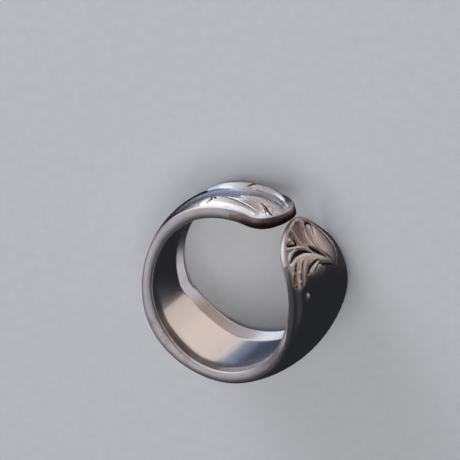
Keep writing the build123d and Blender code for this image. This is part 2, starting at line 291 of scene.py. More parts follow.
# where copper has bled through in the hollows: a route as above, and how strongly
copperStains = [
    ([(0.8, 0.3, 0.3), (1.4, 0.5, 0.62), (2.1, 0.6, 0.55), (2.8, 0.7, 0.3)], 1.0),
    ([(0.6, 2.3, 0.25), (1.2, 2.35, 0.45), (1.9, 2.25, 0.3)], 0.9),
    ([(2.9, 4.9, 0.15), (3.4, 5.3, 0.35), (4.0, 5.75, 0.4), (4.5, 6.1, 0.3)], 0.75),
    ([(4.5, 5.1, 0.15), (5.0, 5.65, 0.35), (5.5, 5.95, 0.4), (6.1, 6.05, 0.28)], 0.95),
    ([(5.2, 2.4, 0.12), (5.5, 2.9, 0.16)], 0.5),
    ([(0.9, 0.8, 0.7), (1.8, 0.9, 0.95), (2.9, 1.0, 0.8), (3.5, 1.1, 0.4)], 0.42),
]
# painted shadow, in no groove: the shade under the stem of the large leaf
stemShadowStrokes = [([(6.3, -1.45, 0.14), (5.92, -0.2, 0.2), (5.62, 0.82, 0.14)], 0.85)]
# and a beige bloom over the tongue's tip
bloomStrokes = [([(3.9, 1.5, 0.6), (2.6, 1.7, 1.0), (1.4, 1.6, 1.1), (0.5, 1.0, 0.9)], 0.44)]


def smoothRoute(points):
    # a Catmull-Rom curve through the points, sampled evenly between each pair
    points = np.array(points, float)
    share = np.linspace(0, len(points) - 1, 70)
    piece = np.minimum(share.astype(int), len(points) - 2)
    part = (share - piece)[:, None]
    padded = np.vstack([2 * points[0] - points[1], points, 2 * points[-1] - points[-2]])
    a, b, c, d = (padded[piece + step] for step in range(4))
    curved = (2 * a - 5 * b + 4 * c - d) * part**2 + (3 * b - a - 3 * c + d) * part**3
    return 0.5 * (2 * b + (c - a) * part + curved)


def besideRoute(route, away, off):
    # the nearest point of the route to each point of the face: signed distance to it as a share of the half
    # width there, and the half width itself
    start, step = route[:-1, :2], np.diff(route[:, :2], axis=0)
    point = np.stack([away, off], axis=-1)[:, None, :]
    share = np.clip(((point - start) * step).sum(-1) / (step**2).sum(-1), 0, 1)
    gap = point - (start + step * share[..., None])
    square = (gap**2).sum(-1)
    nearest = np.argmin(square, axis=1)
    row = np.arange(len(nearest))
    widening = route[nearest + 1, 2] - route[nearest, 2]
    half = np.maximum(route[nearest, 2] + widening * share[row, nearest], 0.02)
    side = np.sign(step[nearest, 0] * gap[row, nearest, 1] - step[nearest, 1] * gap[row, nearest, 0])
    return side * np.sqrt(square[row, nearest]) / half, half


def nearRoute(points, away, off, widths, margin=0.0, spread=1.0):
    # which points lie near the route, besideRoute for them, and the route's greatest half width
    route = smoothRoute(points)
    route[:, 2] *= spread
    reach = route[:, 2].max() * widths + margin
    least, most = route[:, :2].min(0) - reach, route[:, :2].max(0) + reach
    near = (away > least[0]) & (away < most[0]) & (off > least[1]) & (off < most[1])
    return near, *besideRoute(route, away[near], off[near]), route[:, 2].max()


def addLeaves(height, away, off, leaves, depth=1.0, spread=1.0):
    # crest * (1 - |q|^power) * (half width / greatest half width)^0.5, q being the share of the half width
    # from the route. A leaf rises out of what is there by a smooth maximum; a groove, its profile to the
    # power 1.2, is taken away from it.
    meeting = leafRelief["meeting"]
    for points, crest, power, lines in leaves:
        crest = crest * depth
        near, q, half, widest = nearRoute(points, away, off, 1.7, 0.1, spread)
        swell = (half / widest) ** 0.5
        profile = 1 - np.minimum(np.abs(q), 1.7) ** power
        if crest < 0:
            height[near] += crest * swell * np.clip(profile, 0, None) ** 1.2
            continue
        profile = crest * swell * profile
        if lines:
            wave = np.cos(q * lines * math.pi) * np.clip(1 - np.abs(q), 0, 1) ** 0.5
            profile = profile + leafRelief["lineHeight"] * crest * wave
        under = height[near]
        larger = 0.5 * (under + profile + np.sqrt((under - profile) ** 2 + meeting**2))
        height[near] = larger - 0.5 * meeting * (profile > under - 2 * meeting)


def strokesAt(away, off, strokes):
    # the strongest stroke at each point: its strength, faded out between 0.5 and 1.2 of its half width
    shade = np.zeros_like(away)
    for points, strength in strokes:
        near, q, _, _ = nearRoute(points, away, off, 1.3)
        shade[near] = np.maximum(shade[near], strength * smoothStep((1.2 - np.abs(q)) / 0.7))
    return shade


def reliefAt(along, off):
    # height above the plain outer side, 0 away from the two ends: each end's hollows, leaves and grooves in
    # turn, then a bell curve for the bead and for each worn point
    shape = along.shape
    along, off = along.ravel(), off.ravel()
    away = stripLength - along
    height = np.zeros_like(along)
    for fromTip, hollows, leaves, grooves in (
        (away, shieldHollows, shieldLeaves, shieldGrooves),
        (along, tongueHollows, tongueLeaves, tongueGrooves),
    ):
        addLeaves(height, fromTip, off, hollows)
        addLeaves(height, fromTip, off, leaves, leafRelief["leafHeight"], leafRelief["leafWidth"])
        addLeaves(height, fromTip, off, grooves, leafRelief["grooveDepth"], leafRelief["grooveWidth"])
    square = ((away - bead["away"]) / bead["long"]) ** 2 + ((off - bead["off"]) / bead["wide"]) ** 2
    height += bead["height"] * np.exp(-square)
    for place, side, size in wornPoints:
        height += leafRelief["wornHeight"] * np.exp(-((away - place) ** 2 + (off - side) ** 2) / size**2)
    return height.reshape(shape)


def rimDistance(along, off):
    # distance to the outline, to first order: f / |grad f| of f = 1 - (off / half)^2 - tipShare, kept finite
    # on the middle line
    half = sectionAt(along)[0]
    value = 1 - (off / half) ** 2 - tipShare(along)
    step = 0.02
    slopeAlong = (tipShare(along + step) - tipShare(along - step)) / (2 * step)
    return value / np.sqrt(slopeAlong**2 + (2 * off / half**2) ** 2 + 0.02)


def outerSide(along, off, withLeaves=True):
    # rim + bulge * (1 - (off / half)^2) * (1 - tipShare), less a quarter circle of the roll near the rim,
    # then the leaves, lower towards the rim, and the shield's border as a bell curve of the rim's distance
    half, rim, bulge, _, _, roll = sectionAt(along)
    out = rim + bulge * (1 - (off / half) ** 2) * (1 - tipShare(along))
    edge = rimDistance(along, off)
    near = np.clip(1 - edge / strip["rollReach"], 0, 0.95)
    out = out - roll * np.where(off > 0, 1.0, strip["lowerRoll"]) * (1 - np.sqrt(1 - near**2))
    if withLeaves:
        fade = smoothStep((edge - leafRelief["rimFlat"]) / leafRelief["rimFade"])
        out = out + reliefAt(along, off) * (leafRelief["rimShare"] + (1 - leafRelief["rimShare"]) * fade)
        away = stripLength - along
        ends = smoothStep((border["ends"] - away) / border["endFade"])
        upperPart = sCurve((off - border["from"]) / border["fromFade"])
        raised = border["height"] * np.exp(-(((edge - border["place"]) / border["width"]) ** 2))
        out = out + ends * upperPart * raised
    return out


def innerSide(along, off):
    # sink * smooth minimum of 1 and (half - |off|) / ((1 - land) * half): level between two creases, the
    # upper one worn rounder
    half, _, _, sink, _, _ = sectionAt(along)
    upperPart = sCurve(off / 0.3)
    rise = (half - np.abs(off)) / ((1 - strip["land"] + strip["upperWear"] * upperPart) * half)
    softness = strip["creaseSoft"] + strip["upperSoft"] * upperPart
    return sink * 0.5 * (rise + 1 - np.sqrt((rise - 1) ** 2 + softness))


# Grid, rims and mesh
mesh = {
    "across": 161,
    "tongueRows": 0.066,  # distance between rows on each end and between them
    "shieldRows": 0.058,
    "plainRows": 0.40,
    "tongueFine": 11.2,  # how far from each tip the close rows go
    "shieldFine": 8.0,
    "tipMargin": 0.6,  # how far a tip's patch of the grid goes beyond the rounded tip
    "corner": 0.62,  # the patch's corner on the outline, as a share of the greatest half width
    "innerMap": 30,  # how far the inner side's map lies beside the outer one's
}


def rowPlaces():
    # rows stand closer where there are leaves: equal steps of the integral of 1 / spacing
    line = np.linspace(strip["rimRound"], stripLength - strip["rimRound"], 6000)
    tongueMix = sCurve((mesh["tongueFine"] - line) / 0.5)
    shieldMix = sCurve((mesh["shieldFine"] - (stripLength - line)) / 0.4)
    density = 1 / mesh["plainRows"] + tongueMix / mesh["tongueRows"] + shieldMix / mesh["shieldRows"]
    total = np.concatenate([[0], np.cumsum(0.5 * (density[1:] + density[:-1]) * np.diff(line))])
    count = int(total[-1]) // 2 * 2 + 1
    return np.interp(np.linspace(0, total[-1], count), total, line)


def tipPatch(rows, share, outlineAt):
    # Coons patch: the first row lies on the rounded tip, the last one is straight across, and the sides
    # follow the outline, so no row shrinks to a point. Rows and places are distances from the tip.
    depth = np.linspace(rows[0], rows[-1], 800)
    outline = outlineAt(depth)
    widest = np.argmax(outline) + 1
    cornerHalf = mesh["corner"] * outline.max()
    cornerPlace = np.interp(cornerHalf, outline[:widest], depth[:widest])
    v = ((rows - rows[0]) / (rows[-1] - rows[0]))[:, None]
    onTip = np.interp(np.abs(share) * cornerHalf, outline[:widest], depth[:widest])
    onSide = cornerPlace + (rows[-1] - cornerPlace) * v
    return onSide + (1 - v) * (onTip - cornerPlace), share * np.interp(onSide, depth, outline)


def faceGrid():
    # straight rows between two tip patches, the shield's made from its own tip and turned round
    rows = rowPlaces()
    inset = strip["rimRound"]
    share = np.linspace(-1, 1, mesh["across"])
    along = np.repeat(rows[:, None], len(share), axis=1)
    off = halfWidth(along, inset) * share
    first = np.searchsorted(rows, strip["tongueTip"] + mesh["tipMargin"]) + 1
    along[:first], off[:first] = tipPatch(rows[:first], share, lambda depth: halfWidth(depth, inset))
    last = len(rows) - np.searchsorted(rows, stripLength - strip["shieldTip"] - mesh["tipMargin"])
    fromShield = stripLength - rows[::-1][:last]
    away, across = tipPatch(fromShield, share, lambda depth: halfWidth(stripLength - depth, inset))
    along[-last:], off[-last:] = (stripLength - away)[::-1], across[::-1]
    return along, off


def outOfOutline(along, off, inset):
    # the way out across the outline drawn in by the inset: down the slope of 1 - (off / half)^2 - tipShare
    scale = stripLength / (stripLength - 2 * inset)

    def inside(place, side):
        return 1 - (side / (sectionAt(place)[0] - inset)) ** 2 - tipShare((place - inset) * scale)

    step = 0.01
    slopeAlong = inside(along - step, off) - inside(along + step, off)
    slope = np.stack([slopeAlong, inside(along, off - step) - inside(along, off + step)])
    return slope / np.linalg.norm(slope, axis=0)


def around(grid):
    # the grid's boundary as one closed loop: first row, last column, last row and first column backwards
    return np.concatenate([grid[0, :-1], grid[:-1, -1], grid[-1, :0:-1], grid[:0:-1, 0]])


def rimRings(along, off, outAlong, outOff, top):
    # the rim's rings as (reach beyond the face, level): round the outer corner, down the swollen wall, round
    # the inner corner. A corner goes on along its face's slope and falls by a share 1 - cos(angle).
    rounding, step = strip["rimRound"], 0.05
    nextAlong, nextOff = along + outAlong * step, off + outOff * step
    topSlope = (outerSide(nextAlong, nextOff) - top) / step
    floorLevel = innerSide(along, off)
    floorSlope = (innerSide(nextAlong, nextOff) - floorLevel) / step
    atShield = sCurve((strip["shieldEdge"] - (stripLength - along)) / 0.8)
    drop = strip["innerDrop"] * (1 - (1 - strip["shieldDrop"]) * atShield)

    def corner(level, slope, fall, *degrees):
        angles = np.radians(degrees)
        reaches = rounding * np.sin(angles)
        return [(reach, level + slope * reach - fall * (1 - np.cos(angle)))
                for reach, angle in zip(reaches, angles)]

    rings = corner(top, topSlope, strip["outerDrop"], 22.5, 45, 67.5, 90)
    wallTop, wallBottom = rings[-1][1], floorLevel + floorSlope * rounding + drop
    for share in (0.35, 0.68, 1.0):
        swell = strip["rimSwell"] * np.sin(np.pi * share)
        rings.append((rounding + swell, wallTop + (wallBottom - wallTop) * share))
    return rings + corner(floorLevel, floorSlope, -drop, 60, 30)


def quads(grid):
    # the four corners of each square of the grid, in order
    return np.stack([grid[:-1, :-1], grid[1:, :-1], grid[1:, 1:], grid[:-1, 1:]], -1).reshape(-1, 4)


def buildRing():
    # layers of points, each with its place on the unrolled strip: the outer grid, the rim's rings, then the
    # inner grid at half the fineness
    along, off = faceGrid()
    outer = outerSide(along, off)
    rimAlong, rimOff, top = around(along), around(off), around(outer)
    outAlong, outOff = outOfOutline(rimAlong, rimOff, strip["rimRound"])
    rings = rimRings(rimAlong, rimOff, outAlong, outOff, top)
    layers = [(along, off, outer, along, off)]
    for reach, level in rings:
        unrolled = reach + (top - level)
        layers.append((rimAlong + outAlong * reach, rimOff + outOff * reach, level,
                       rimAlong + outAlong * unrolled, rimOff + outOff * unrolled))
    coarseAlong, coarseOff = along[::2, ::2], off[::2, ::2]
    layers.append((coarseAlong, coarseOff, innerSide(coarseAlong, coarseOff),
                   coarseAlong, coarseOff + mesh["innerMap"]))
    # faces: squares on both sides, the inner ones turned over, and between the rings, and five-sided ones
    # where the inner grid starts
    grid = np.arange(along.size).reshape(along.shape)
    loop = around(grid)
    loops = [loop] + [grid.size + number * len(loop) + np.arange(len(loop)) for number in range(len(rings))]
    rimFaces = [
        np.stack([upper, np.roll(upper, -1), np.roll(lower, -1), lower], -1)
        for upper, lower in zip(loops, loops[1:])
    ]
    coarse = grid.size + len(rings) * len(loop) + np.arange(coarseAlong.size).reshape(coarseAlong.shape)
    coarseLoop, last = around(coarse), loops[-1]
    joint = np.stack([last[::2], last[1::2], np.roll(last, -2)[::2], np.roll(coarseLoop, -1), coarseLoop], -1)
    slots = [[quads(grid)], rimFaces + [joint], [quads(coarse)[:, [0, 3, 2, 1]]]]
    counts = [sum(len(block) for block in blocks) for blocks in slots]
    return {
        "points": np.vstack([onStrip(*layer[:3]).reshape(-1, 3) for layer in layers]),
        "places": np.vstack([np.stack(layer[3:], -1).reshape(-1, 2) for layer in layers]),
        "faces": [face for blocks in slots for block in blocks for face in block.tolist()],
        "slots": np.repeat(np.arange(3, dtype=np.int32), counts),
        "relief": outer - outerSide(along, off, withLeaves=False),
        "ringCount": len(rings),
        "innerStart": int(coarse[0, 0]),
    }


def seatAxes(points, along):
    # the floor plane goes through the lowest point near each of three places of the lower rim, found again as
    # the plane turns; x is square to it and to the strip's Y
    upright = np.array((0.0, 0.0, 1.0))
    for _ in range(6):
        rests = []
        for share in strip["restsAt"]:
            near = points[np.abs(along - share * stripLength) < 1.5]
            rests.append(near[np.argmin(near @ upright)])
        upright = np.cross(rests[1] - rests[0], rests[2] - rests[0])
        upright /= np.linalg.norm(upright)
    sideways = np.cross((0, 1, 0), upright)
    sideways /= np.linalg.norm(sideways)
    return np.stack([sideways, np.cross(upright, sideways), upright])


def softened(values, times):
    # half of each value and a quarter of each neighbour, along and then across, again and again
    for _ in range(times):
        padded = np.pad(values, ((1, 1), (0, 0)), mode="edge")
        values = 0.25 * padded[:-2] + 0.5 * values + 0.25 * padded[2:]
        padded = np.pad(values, ((0, 0), (1, 1)), mode="edge")
        values = 0.25 * padded[:, :-2] + 0.5 * values + 0.25 * padded[:, 2:]
    return values


painting = {
    "shieldEnd": 12.0,  # how far from the shield's tip its own looks go
    "shieldRecess": 0.75,  # how dark a hollow is by its depth alone, on the shield and elsewhere
    "plainRecess": 0.45,
    "fineRecess": 0.2,
    "strokeTarnishAndShadow": 0.8,  # and how dark the tarnish strokes and the painted shadow under the leaf's stem make it
    "crestWorn": 0.75,  # how much copper is worn off the crests
    "bevelEdge": 0.05,
}


def paintedMasks(built):
    # each mask at every point: a hollow lies below the softened relief and a crest above it, and counts in
    # full from a certain depth; the others follow the strokes above, or the place on the strip. The hollows'
    # darkening also takes in the groove tarnish and the painted shadow under the large leaf's stem
    relief, places = built["relief"], built["places"]
    along, off = places[: relief.size].T
    away = stripLength - along
    recess = np.clip((softened(relief, 60) - relief - 0.02) / 0.17, 0, 1).ravel()
    fineRecess = np.clip((softened(relief, 8) - relief) / 0.06, 0, 1).ravel()
    crest = np.clip((relief - softened(relief, 20)) / 0.06, 0, 1).ravel()
    ornament = softened((np.abs(relief) > 0.03).astype(float), 5).ravel()
    for fromTip, strokes in ((away, satinStrokes), (along, tongueSatinStrokes)):
        ornament = np.maximum(ornament, strokesAt(fromTip, off, strokes))
    # the shield's groove tarnish, and the painted shadow under its large leaf's stem
    shieldTarnishAndShadow = [(points, share) for points, _, _, share in shieldGrooves] + stemShadowStrokes
    tongueTarnish = [(points, share) for points, _, _, share in tongueGrooves] + bloomStrokes
    tarnishAndShadowHere = np.maximum(strokesAt(away, off, shieldTarnishAndShadow), strokesAt(along, off, tongueTarnish))
    onShield = away < painting["shieldEnd"]
    recess = np.where(onShield, painting["shieldRecess"], painting["plainRecess"]) * recess
    recess = recess + painting["fineRecess"] * fineRecess + painting["strokeTarnishAndShadow"] * tarnishAndShadowHere
    masks = {
        "recess": np.clip(recess, 0, 1),
        "crest": crest,
        "copper": strokesAt(away, off, copperStains) * (1 - painting["crestWorn"] * crest),
        "ornament": ornament,
        "shield": onShield.astype(float),
        "ground": strokesAt(along, off, groundStrokes),
    }
    masks = {name: np.pad(values, (0, len(places) - relief.size)) for name, values in masks.items()}
    masks["along"] = places[:, 0]
    start = built["innerStart"]
    lowerShare = (mesh["innerMap"] - places[start:, 1]) / sectionAt(places[start:, 0])[0]
    bevel = np.clip((lowerShare - strip["land"]) / painting["bevelEdge"], 0, 1)
    masks["bevel"] = np.pad(bevel, (start, 0))  # the far inner bevel only
    down = np.repeat(np.linspace(0, 1, built["ringCount"]), (start - relief.size) // built["ringCount"])
    masks["under"] = np.pad(down, (relief.size, len(places) - start))  # down the rim: 1 at its inner corner, where the painted shade on the tongue's underside is deepest
    return masks


built = buildRing()
seatRows = seatAxes(built["points"], built["places"][:, 0])
seatedPoints = built["points"] @ seatRows.T
boxLow, boxHigh = (np.array(corner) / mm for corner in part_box("spoon_ring"))
shift = (boxLow + boxHigh) / 2 - (seatedPoints.min(0) + seatedPoints.max(0)) / 2
shift[2] = -seatedPoints[:, 2].min()  # it stands on the floor
holeCentre = Vector(shift * mm)
print("ring worked out:", len(seatedPoints), "points,", len(built["faces"]), "faces, shift", shift.round(4))

scene = bpy.context.scene
ringMesh = bpy.data.meshes.new("spoonRing")
ringMesh.from_pydata((seatedPoints + shift) * mm, [], built["faces"])
ringMesh.polygons.foreach_set("material_index", built["slots"])
ringMesh.polygons.foreach_set("use_smooth", np.ones(len(ringMesh.polygons), dtype=bool))
cornerPoints = np.zeros(len(ringMesh.loops), dtype=np.int32)
ringMesh.loops.foreach_get("vertex_index", cornerPoints)
stripMap = ringMesh.uv_layers.new(name="strip")
stripMap.data.foreach_set("uv", (built["places"][cornerPoints] / 10).astype(np.float32).ravel())  # 1 is 10 mm
for name, values in paintedMasks(built).items():
    ringMesh.attributes.new(name, "FLOAT", "POINT").data.foreach_set("value", values.astype(np.float32))
ring = bpy.data.objects.new("spoonRing", ringMesh)
scene.collection.objects.link(ring)
print("hollows, crests and stains painted")


# Materials
def nodeGroup(name, inputs, outputs):
    tree = bpy.data.node_groups.new(name, "ShaderNodeTree")
    for label, kind, value in inputs:
        socket = tree.interface.new_socket(label, in_out="INPUT", socket_type="NodeSocket" + kind)
        if value is not None:
            socket.default_value = value
    for label, kind in outputs:
        tree.interface.new_socket(label, in_out="OUTPUT", socket_type="NodeSocket" + kind)
    return tree, tree.nodes.new("NodeGroupInput").outputs, tree.nodes.new("NodeGroupOutput").inputs


def feed(tree, socket, value):
    # another node's output is linked, a plain value is set
    if isinstance(value, bpy.types.NodeSocket):
        tree.links.new(value, socket)
    else:
        socket.default_value = value


def add(tree, kind, settings=None, **links):
    # one node: settings are its properties, links its inputs by label, or i0, i1 and so on by number
    node = tree.nodes.new(kind)
    for key, value in (settings or {}).items():
        setattr(node, key, value)
    for label, value in links.items():
        numbered = label[0] == "i" and label[1:].isdigit()
        feed(tree, node.inputs[int(label[1:]) if numbered else label], value)
    return node


def maths(tree, operation, first, second=0.0):
    return add(tree, "ShaderNodeMath", {"operation": operation}, i0=first, i1=second).outputs[0]


def times(tree, first, second):
    return maths(tree, "MULTIPLY", first, second)


def plus(tree, start, value, weight):
    # start + value * weight
    return maths(tree, "ADD", start, times(tree, value, weight))


def blend(tree, share, first, second):
    node = add(tree, "ShaderNodeMix", {"data_type": "RGBA"})
    for label, value in (("Factor_Float", share), ("A_Color", first), ("B_Color", second)):
        feed(tree, next(socket for socket in node.inputs if socket.identifier == label), value)
    return next(socket for socket in node.outputs if socket.identifier == "Result_Color")


def ramp(tree, value, low, high, to=(0.0, 1.0)):
    # from to[0] at low to to[1] at high, easing in and out
    settings = {"interpolation_type": "SMOOTHSTEP"}
    return add(tree, "ShaderNodeMapRange", settings, i0=value, i1=low, i2=high, i3=to[0], i4=to[1]).outputs[0]


def noise(tree, place, scale, detail=2.0, settings=None, **links):
    kind = "ShaderNodeTexNoise"
    return add(tree, kind, settings, Vector=place, Scale=scale, Detail=detail, **links).outputs[0]


def scratchGroup():
    # thin lines: noise stretched along the strip, cut to its narrow peaks, in three directions
    tree, given, result = nodeGroup(
        "fineScratches",
        [("Vector", "Vector", None), ("Scale", "Float", 60.0), ("Stretch", "Float", 12.0),
         ("Turn", "Float", 0.0), ("Depth", "Float", 1.0)],
        [("Height", "Float"), ("Mask", "Float")],
    )
    total = 0.0
    for turn, share in ((0.0, 1.0), (0.5, 0.7), (-0.9, 0.5)):
        angle = add(tree, "ShaderNodeCombineXYZ", None, Z=maths(tree, "ADD", given["Turn"], turn)).outputs[0]
        turned = add(tree, "ShaderNodeVectorRotate", {"rotation_type": "EULER_XYZ"}, Vector=given["Vector"],
                     Rotation=angle).outputs[0]
        thin = add(tree, "ShaderNodeCombineXYZ", None, X=1.0, Y=given["Stretch"], Z=1.0).outputs[0]
        drawn = add(tree, "ShaderNodeVectorMath", {"operation": "MULTIPLY"}, i0=turned, i1=thin).outputs[0]
        flat = {"noise_dimensions": "2D"}
        grain = noise(tree, drawn, given["Scale"], 3.0, flat, Roughness=0.62)
        total = plus(tree, total, ramp(tree, grain, 0.56, 0.72), share)
    tree.links.new(times(tree, total, given["Depth"]), result["Height"])
    tree.links.new(maths(tree, "MINIMUM", total, 1.0), result["Mask"])
    return tree


def smudgeGroup():
    # soft clouds of handling marks and a fine bloom, as a value about 0
    tree, given, result = nodeGroup(
        "handlingSmudges",
        [("Vector", "Vector", None), ("Cloud", "Float", 160.0), ("Fine", "Float", 1400.0)],
        [("Value", "Float"), ("Cloud", "Float")],
    )
    cloud = noise(tree, given["Vector"], given["Cloud"], 4.0, Roughness=0.55, Distortion=0.6)
    both = plus(tree, times(tree, cloud, 0.7), noise(tree, given["Vector"], given["Fine"]), 0.3)
    tree.links.new(maths(tree, "SUBTRACT", both, 0.5), result["Value"])
    tree.links.new(ramp(tree, cloud, 0.4, 0.65), result["Cloud"])
    return tree


# tarnish and copper colours; the warm and dark ones also paint the shade fed in as recess
stainAndShadeColours = {
    "warm": (0.40, 0.31, 0.27, 1),
    "dark": (0.035, 0.024, 0.022, 1),
    "copper": (0.30, 0.105, 0.045, 1),
    "paleCopper": (0.60, 0.30, 0.16, 1),
}


def tarnishAndShadeGroup():
    # silver that darkens with the depth of the hollow, broken up by noise, with copper where it shows; the
    # same darkening paints shade where painted shade is fed in as depth
    tree, given, result = nodeGroup(
        "recessTarnishAndShade",
        [("Vector", "Vector", None), ("Silver", "Color", (0.9, 0.88, 0.85, 1)), ("Recess", "Float", 0.0),
         ("Copper", "Float", 0.0), ("Amount", "Float", 1.0), ("Speckle", "Float", 0.5)],
        [("Color", "Color"), ("Mask", "Float")],
    )
    speck = maths(tree, "SUBTRACT", noise(tree, given["Vector"], 2600.0, 5.0, Roughness=0.65), 0.5)
    broken = plus(tree, given["Recess"], speck, given["Speckle"])
    mask = times(tree, ramp(tree, broken, 0.18, 0.75), given["Amount"])
    warm = blend(tree, ramp(tree, mask, 0.0, 0.45), given["Silver"], stainAndShadeColours["warm"])
    dark = blend(tree, ramp(tree, mask, 0.45, 1.0), warm, stainAndShadeColours["dark"])
    spots = noise(tree, given["Vector"], 3300.0, 3.0)
    bleed = times(tree, given["Copper"], ramp(tree, spots, 0.28, 0.5))
    rust = blend(tree, ramp(tree, spots, 0.4, 0.65), stainAndShadeColours["copper"], stainAndShadeColours["paleCopper"])
    tree.links.new(blend(tree, times(tree, bleed, 0.85), dark, rust), result["Color"])
    tree.links.new(maths(tree, "MAXIMUM", mask, bleed), result["Mask"])
    return tree


scratches, smudges, tarnishAndShade = scratchGroup(), smudgeGroup(), tarnishAndShadeGroup()


def group(tree, source, **links):
    return add(tree, "ShaderNodeGroup", {"node_tree": source}, **links)


def bump(tree, height, distance, under=None):
    # a height in shares of the distance, in metres, over another bump
    node = add(tree, "ShaderNodeBump", None, Height=height, Distance=distance)
    if under is not None:
        tree.links.new(under, node.inputs["Normal"])
    return node.outputs[0]


def newMaterial(name):
    material = bpy.data.materials.new(name)
    material.use_nodes = True
    tree = material.node_tree
    tree.nodes.clear()
    output = tree.nodes.new("ShaderNodeOutputMaterial")
    shader = tree.nodes.new("ShaderNodeBsdfPrincipled")
    tree.links.new(shader.outputs[0], output.inputs[0])
    return material, tree, shader


def objectPlace(tree):
    return add(tree, "ShaderNodeTexCoord").outputs["Object"]


def worn(tree, scale, stretch, turn=0.0):
    # what every silver finish has: how deep and where the scratches along the strip are, and the smudges
    face = add(tree, "ShaderNodeUVMap", {"uv_map": "strip"}).outputs[0]
    fine = group(tree, scratches, Vector=face, Scale=scale, Stretch=stretch, Turn=turn).outputs
    smudge = group(tree, smudges, Vector=objectPlace(tree)).outputs["Value"]
    return times(tree, fine["Height"], -1.0), fine["Mask"], smudge


def painted(tree, *names):
    return [add(tree, "ShaderNodeAttribute", {"attribute_name": name}).outputs["Fac"] for name in names]


def finish(tree, shader, colour, rough, least, metal, normal):
    # no part is smoother than the least roughness
    feed(tree, shader.inputs["Roughness"], maths(tree, "MAXIMUM", rough, least))
    for label, value in (("Base Color", colour), ("Metallic", metal), ("Normal", normal)):
        feed(tree, shader.inputs[label], value)


polished = {
    "silver": (0.90, 0.885, 0.865, 1),
    "satin": (0.66, 0.58, 0.54, 1),  # between and on the shield's leaves
    # crests worn bright; their lighter colour is also a painted highlight
    "crest": (0.97, 0.93, 0.90, 1),
    "ground": (0.36, 0.41, 0.54, 1),  # the tongue's punched ground
    "mirrorRough": 0.09,
    "leafRough": 0.28,
    "leafDull": 0.22,  # how much less metallic the shield's leaves are
}


def polishedSilver():
    material, tree, shader = newMaterial("polishedSilver")
    place = objectPlace(tree)
    recess, crest, copper, leaf, onShield, ground = painted(
        tree, "recess", "crest", "copper", "ornament", "shield", "ground")
    lineDepth, lines, smudge = worn(tree, 70.0, 9.0, 0.3)
    shieldLeaf = times(tree, leaf, onShield)
    tint = blend(tree, shieldLeaf, polished["silver"], polished["satin"])
    # lighter crests on the leaves: worn silver, and a painted highlight
    tint = blend(tree, times(tree, crest, leaf), tint, polished["crest"])
    punched = add(tree, "ShaderNodeTexVoronoi", None, Vector=place, Scale=4600.0).outputs["Distance"]
    dimples = times(tree, ground, ramp(tree, punched, 0.65, 0.15, (0.75, 1.0)))
    tint = blend(tree, dimples, tint, polished["ground"])
    # tarnish darkens the hollows; the same mask paints the shadow under the large leaf's stem
    colour, stain = group(tree, tarnishAndShade, Vector=place, Silver=tint, Recess=recess, Copper=copper).outputs
    rough = plus(tree, polished["mirrorRough"], leaf, polished["leafRough"] - polished["mirrorRough"])
    for value, weight in ((smudge, 0.22), (lines, 0.06), (stain, 0.30), (crest, -0.10)):
        rough = plus(tree, rough, value, weight)
    metal = plus(tree, plus(tree, 1.0, stain, -0.35), shieldLeaf, -polished["leafDull"])
    grain = noise(tree, place, 4200.0, 4.0, Roughness=0.6)
    normal = bump(tree, times(tree, punched, ground), 0.00002)
    normal = bump(tree, times(tree, grain, plus(tree, 0.08, leaf, 0.8)), 0.00002, normal)
    finish(tree, shader, colour, rough, 0.06, metal, bump(tree, lineDepth, 0.0000016, normal))
    shader.inputs["IOR"].default_value = 1.5
    return material


rimLook = {
    "silver": (0.84, 0.81, 0.82, 1),
    "rough": 0.30,
    "brownTarnishAndShade": 0.72,  # how dark the tongue's underside is: brown tarnish and painted shade, deepest at the rim's inner corner
    "brownShadeEnd": (6.5, 6.3),  # where along the strip it is gone and begins
    "brownShadeFull": 4.2,
    "copperFrom": (22.5, 24.5),  # a copper tinge behind the shoulder comes and goes along these stretches
    "copperTo": (32.0, 29.0),
}


def brushedRim():
    material, tree, shader = newMaterial("brushedRim")
    place = objectPlace(tree)
    along, under = painted(tree, "along", "under")
    lineDepth, lines, smudge = worn(tree, 45.0, 26.0)
    blotch = noise(tree, place, 900.0, 4.0)
    # the tongue's underside near its tip: brown tarnish with painted shade, darker down the rim towards its
    # inner corner
    brownTarnishAndShade = times(tree, ramp(tree, along, *rimLook["brownShadeEnd"]), ramp(tree, blotch, 0.3, 0.7, (0.88, 1.0)))
    brownTarnishAndShade = times(tree, brownTarnishAndShade, ramp(tree, under, 0.1, 0.75, (0.38, 1.0)))
    brownTarnishAndShade = times(tree, brownTarnishAndShade, ramp(tree, along, rimLook["brownShadeEnd"][1], rimLook["brownShadeFull"], (0.7, 1.0)))
    tinge = times(tree, ramp(tree, along, *rimLook["copperFrom"]), ramp(tree, along, *rimLook["copperTo"]))
    tinge = times(tree, tinge, ramp(tree, blotch, 0.45, 0.62, (0.0, 0.55)))
    colour, stain = group(tree, tarnishAndShade, Vector=place, Silver=rimLook["silver"], Copper=tinge, Speckle=0.12,
                          Recess=times(tree, brownTarnishAndShade, rimLook["brownTarnishAndShade"])).outputs
    rough = plus(tree, plus(tree, rimLook["rough"], smudge, 0.25), lines, 0.10)
    finish(tree, shader, colour, rough, 0.08, plus(tree, 1.0, stain, -0.2), bump(tree, lineDepth, 0.000004))
    return material


innerLook = {"silver": (0.90, 0.885, 0.87, 1), "rough": 0.09, "bevelRough": 0.16}  # the last comes on top


